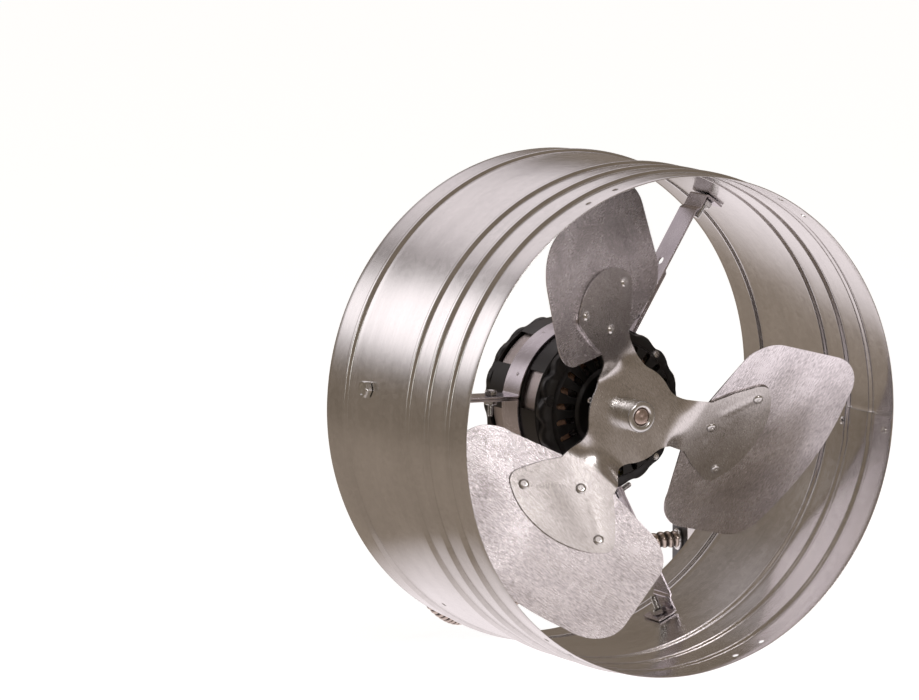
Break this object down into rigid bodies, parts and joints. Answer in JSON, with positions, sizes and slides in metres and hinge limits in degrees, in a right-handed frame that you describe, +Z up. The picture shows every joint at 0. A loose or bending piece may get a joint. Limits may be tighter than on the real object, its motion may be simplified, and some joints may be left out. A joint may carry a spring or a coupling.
{
  "type": "gable-mount power attic fan",
  "caption": "Attic ventilator: beaded sheet-metal drum, motor on strap arms with a riveted blade fan, and a thermostat box on a flexible conduit.",
  "frame": {"origin": "middle of the drum's length, under its axis, on the surface that the drum lies on; the conduit with its fittings and the thermostat box are left out of this", "axes": "+Y runs along the drum's axis from the open fan side to the motor side, +Z is up, +X is to the right seen from the fan side"},
  "size_m": [0.555, 0.4145, 0.3978],
  "materials": {
    "galvanised_housing": "satin galvanised sheet",
    "rivet_steel": "bright zinc",
    "strap_steel": "satin zinc-plated strip",
    "zinc_fasteners": "bright zinc plate",
    "black_motor_paint": "semi-gloss black paint",
    "lamination_steel": "stacked bare laminations",
    "copper_winding": "varnished copper wire",
    "bearing_bronze": "sintered bronze",
    "zinc_fitting": "die-cast zinc, satin",
    "conduit_metal": "interlocked strip, dull",
    "black_box_paint": "black paint",
    "cover_steel": "bright zinc-plated sheet",
    "switch_plastic": "moulded phenolic",
    "dial_plastic": "moulded plastic",
    "shaft_steel": "ground steel",
    "hub_zinc": "turned and zinc plated",
    "spider_steel": "pressed zinc-plated sheet",
    "galvanised_blade": "spangled galvanised sheet"
  },
  "bodies": {
    "housing": {"housing_shell": "galvanised_housing", "seam_rivet_1": "rivet_steel", "seam_rivet_2": "rivet_steel", "seam_rivet_3": "rivet_steel", "seam_rivet_4": "rivet_steel", "motor_strap_1": "strap_steel", "motor_strap_2": "strap_steel", "motor_strap_3": "strap_steel", "housing_bolt_1": "zinc_fasteners", "housing_bolt_2": "zinc_fasteners", "housing_bolt_3": "zinc_fasteners", "housing_nut_1": "zinc_fasteners", "housing_nut_2": "zinc_fasteners", "housing_nut_3": "zinc_fasteners", "clamp_bolt_1": "zinc_fasteners", "clamp_bolt_2": "zinc_fasteners", "clamp_bolt_3": "zinc_fasteners", "clamp_nut_1": "zinc_fasteners", "clamp_nut_2": "zinc_fasteners", "clamp_nut_3": "zinc_fasteners", "motor_front_bell": "black_motor_paint", "motor_rear_bell": "black_motor_paint", "stator_core": "lamination_steel", "stator_winding_front": "copper_winding", "stator_winding_rear": "copper_winding", "front_bearing": "bearing_bronze", "rear_bearing": "bearing_bronze", "motor_through_bolt_1": "zinc_fasteners", "motor_through_bolt_2": "zinc_fasteners", "motor_through_bolt_3": "zinc_fasteners", "motor_through_bolt_4": "zinc_fasteners", "motor_conduit_fitting": "zinc_fitting", "flexible_conduit": "conduit_metal", "box_conduit_fitting": "zinc_fitting", "thermostat_box": "black_box_paint", "thermostat_cover": "cover_steel", "cover_screw_1": "zinc_fasteners", "cover_screw_2": "zinc_fasteners", "thermostat_switch": "switch_plastic"},
    "fan_rotor": {"motor_shaft": "shaft_steel", "rotor_core": "lamination_steel", "fan_hub": "hub_zinc", "hub_set_screw": "hub_zinc", "fan_spider": "spider_steel", "fan_blade_1": "galvanised_blade", "fan_blade_2": "galvanised_blade", "fan_blade_3": "galvanised_blade", "blade_rivet_1a": "rivet_steel", "blade_rivet_1b": "rivet_steel", "blade_rivet_1c": "rivet_steel", "blade_rivet_2a": "rivet_steel", "blade_rivet_2b": "rivet_steel", "blade_rivet_2c": "rivet_steel", "blade_rivet_3a": "rivet_steel", "blade_rivet_3b": "rivet_steel", "blade_rivet_3c": "rivet_steel"},
    "dial": {"thermostat_dial": "dial_plastic"}
  },
  "joints": [
    {"name": "fan_spin", "type": "hinge", "parent": "housing", "child": "fan_rotor", "pos_m": [0, -0.0075, 0.1989], "axis": [0, -1, 0], "continuous": true},
    {"name": "dial_turn", "type": "hinge", "parent": "housing", "child": "dial", "pos_m": [0.29479, 0.25645, 0.027], "axis": [-0.2317, -0.9728, 0], "range_deg": [-135, 135]}
  ]
}
